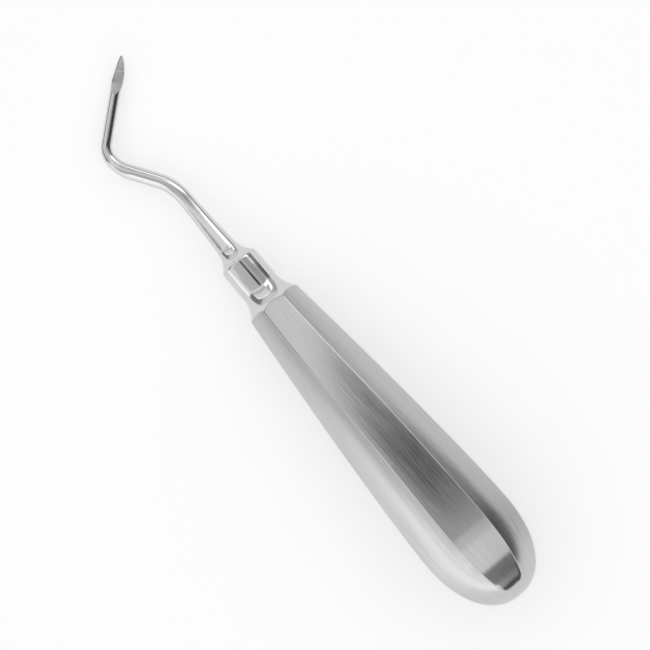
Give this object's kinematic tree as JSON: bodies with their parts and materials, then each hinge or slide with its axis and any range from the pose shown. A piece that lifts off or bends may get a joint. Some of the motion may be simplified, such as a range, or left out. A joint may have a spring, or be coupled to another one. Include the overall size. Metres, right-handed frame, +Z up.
{
  "type": "dental elevator",
  "caption": "Root elevator: hollow octagonal pear-shaped satin steel handle, polished round collar, offset bent shank and a pointed blade with a ground hollow face.",
  "frame": {"origin": "middle of the planar stretch of the handle's bottom facet that the instrument lies on", "axes": "+X along the instrument towards the working end, +Z up, with the shank's bends in plan and the blade's ground face up"},
  "size_m": [0.1501, 0.0238, 0.0244],
  "materials": {
    "handle_satin": "satin stainless steel, brushed lengthwise",
    "shank_polish": "mirror-polished stainless steel, the blade's face ground matt",
    "collar_polish": "mirror-polished stainless steel",
    "weld_satin": "weld metal, ground flush and brushed",
    "braze_polish": "braze fillet, polished with the collar",
    "pin_steel": "plain ground steel pin, hidden"
  },
  "bodies": {
    "root": {"blade_shank": "shank_polish", "bolster": "collar_polish", "handle_shell_upper": "handle_satin", "handle_shell_lower": "handle_satin", "seam_weld": "weld_satin", "mouth_weld": "weld_satin", "shank_braze_ring": "braze_polish", "tang_pin": "pin_steel"}
  },
  "joints": []
}
